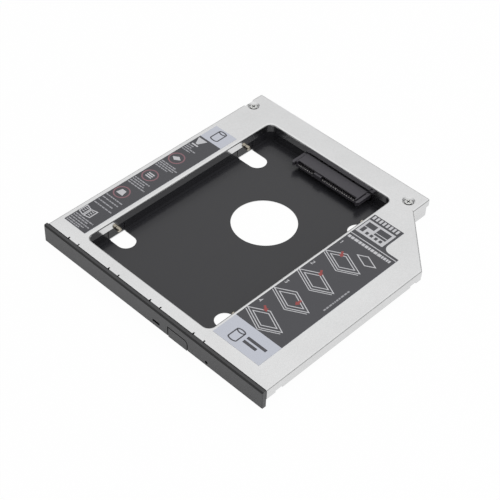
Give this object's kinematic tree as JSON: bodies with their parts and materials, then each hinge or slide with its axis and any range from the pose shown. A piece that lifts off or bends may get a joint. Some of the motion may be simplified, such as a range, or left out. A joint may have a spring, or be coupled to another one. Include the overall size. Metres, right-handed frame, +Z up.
{
  "type": "laptop drive caddy",
  "caption": "Slim metal caddy that holds a 2.5 inch drive in the bay of a laptop's optical drive, with a black bezel, an eject button and a drive receptacle.",
  "frame": {"origin": "middle of the whole outline, on the underside", "axes": "+X left to right along the bezel, +Y from the bezel to the rear, +Z up, out of the cover's face"},
  "size_m": [0.1258, 0.1282, 0.0096],
  "materials": {
    "bright_sheet": "satin",
    "black_sheet": "satin",
    "pin_metal": "satin",
    "screw_metal": "polished",
    "contact_metal": "polished",
    "connector_plastic": "satin",
    "bezel_plastic": "satin",
    "board": "satin",
    "board_part": "satin",
    "label_film": "satin"
  },
  "bodies": {
    "caddy": {"top_cover": "bright_sheet", "bottom_shell": "bright_sheet", "drive_pan": "black_sheet", "front_left_pin": "pin_metal", "rear_left_pin": "pin_metal", "front_right_pin": "pin_metal", "rear_right_pin": "pin_metal", "drive_receptacle": "connector_plastic", "receptacle_signal_contacts": "contact_metal", "receptacle_power_contacts": "contact_metal", "adapter_board": "board", "board_capacitors": "board_part", "board_standoffs": "pin_metal", "board_screws": "screw_metal", "host_plug": "connector_plastic", "plug_signal_contacts": "contact_metal", "plug_power_contacts": "contact_metal", "cover_standoffs": "pin_metal", "rear_left_screw": "screw_metal", "rear_right_screw": "screw_metal", "front_bezel": "bezel_plastic", "left_label": "label_film", "right_label": "label_film"},
    "button": {"eject_button": "bezel_plastic"}
  },
  "joints": [
    {"name": "eject_press", "type": "slide", "parent": "caddy", "child": "button", "axis": [0, 1, 0], "range_m": [0, 0.0006], "stiffness_N_per_m": 200, "springref_m": -0.0005}
  ]
}
